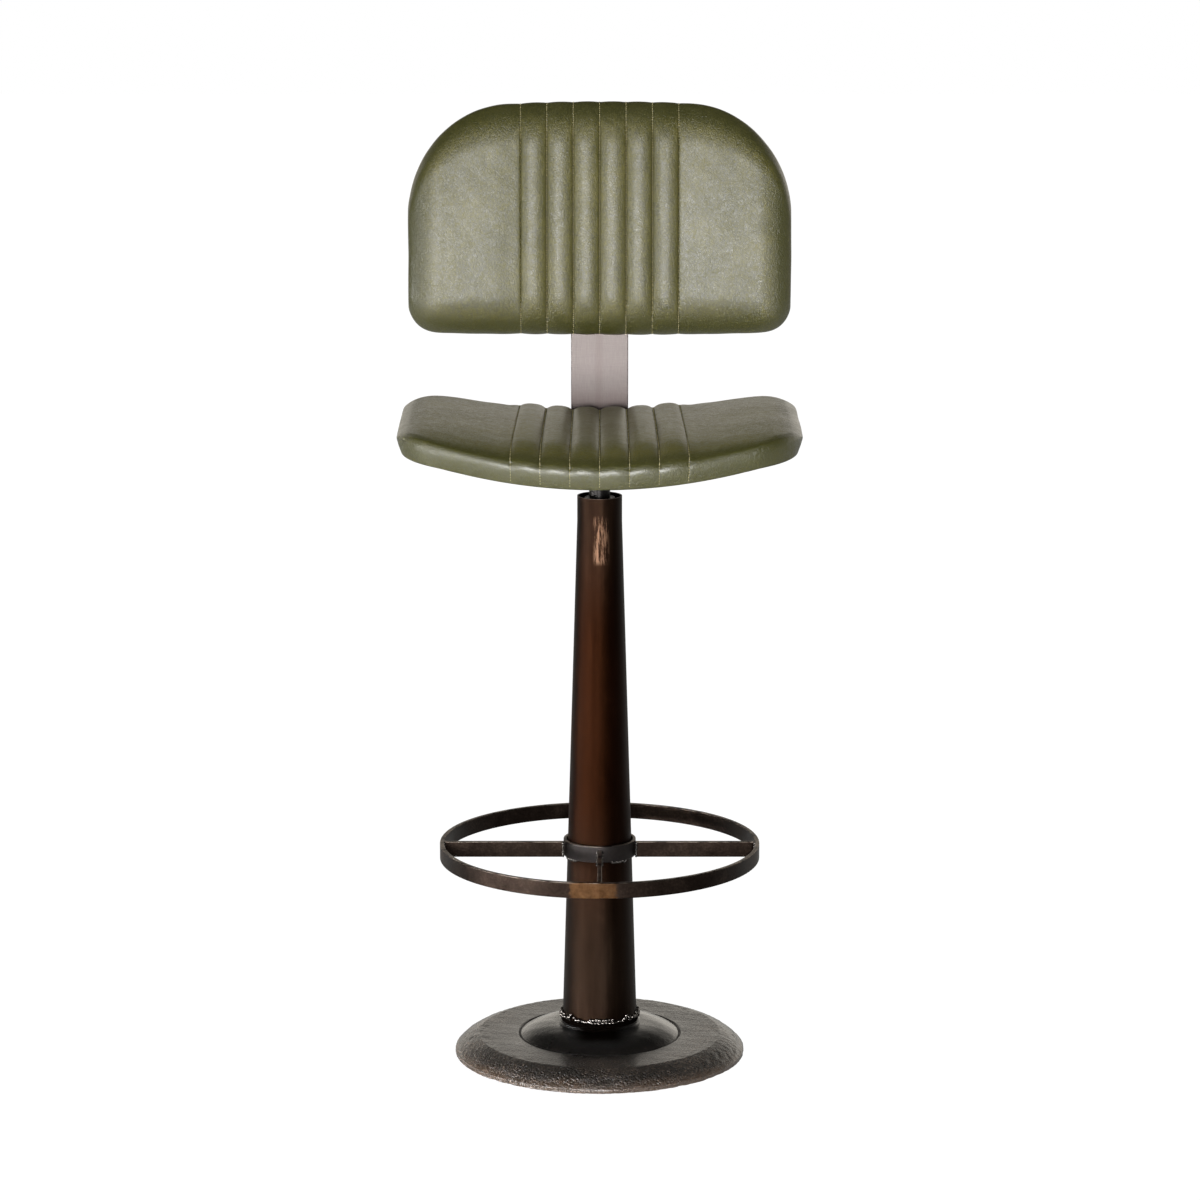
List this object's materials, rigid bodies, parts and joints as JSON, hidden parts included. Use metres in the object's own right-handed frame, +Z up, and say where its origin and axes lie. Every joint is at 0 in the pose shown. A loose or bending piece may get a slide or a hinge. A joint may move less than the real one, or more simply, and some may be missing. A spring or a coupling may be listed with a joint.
{
  "type": "bar stool",
  "caption": "Swivel bar stool: round cast base, tapered column, foot ring on spokes, dished leather seat and a channelled leather backrest on a bent flat bar.",
  "frame": {"origin": "on the floor under the column's axis, on the underside of the floor pad", "axes": "+Z up along the column, the front of the stool faces -Y, +X to the viewer's right seen from the front"},
  "size_m": [0.475, 0.4304, 1.1343],
  "materials": {
    "cast_base": "satin",
    "rubber_pad": "matt",
    "column_steel": "satin burnished",
    "ring_steel": "satin",
    "weld": "gloss lacquered",
    "turned_steel": "turned",
    "bronze": "sintered",
    "spindle_steel": "satin",
    "spring_steel": "blued",
    "plate_steel": "satin",
    "strap_steel": "brushed lacquered",
    "bolt_steel": "black oxide",
    "zinc": "zinc plated",
    "dust_cloth": "woven",
    "plywood": "raw",
    "leather": "pull-up"
  },
  "bodies": {
    "stand": {"base_casting": "cast_base", "floor_pad": "rubber_pad", "column_tube": "column_steel", "foot_weld": "weld", "foot_ring": "ring_steel", "collar": "ring_steel", "collar_weld": "weld", "right_spoke": "ring_steel", "rear_spoke": "ring_steel", "left_spoke": "ring_steel", "front_spoke": "ring_steel", "bearing_sleeve": "turned_steel", "thrust_washer": "bronze", "upper_bush": "bronze", "lower_bush": "bronze"},
    "seat": {"spindle": "spindle_steel", "retaining_ring": "spring_steel", "seat_plate": "plate_steel", "spindle_weld": "weld", "back_strap": "strap_steel", "seat_bolts": "bolt_steel", "seat_washers": "bolt_steel", "seat_t_nuts": "zinc", "back_bolts": "bolt_steel", "back_washers": "bolt_steel", "back_t_nuts": "zinc", "seat_dust_cover": "dust_cloth", "seat_board": "plywood", "back_rear_cover": "leather", "back_board": "plywood", "seat_cushion": "leather", "back_cushion": "leather"}
  },
  "joints": [
    {"name": "seat_swivel", "type": "hinge", "parent": "stand", "child": "seat", "pos_m": [0, 0, 0.7], "axis": [0, 0, 1], "continuous": true}
  ]
}
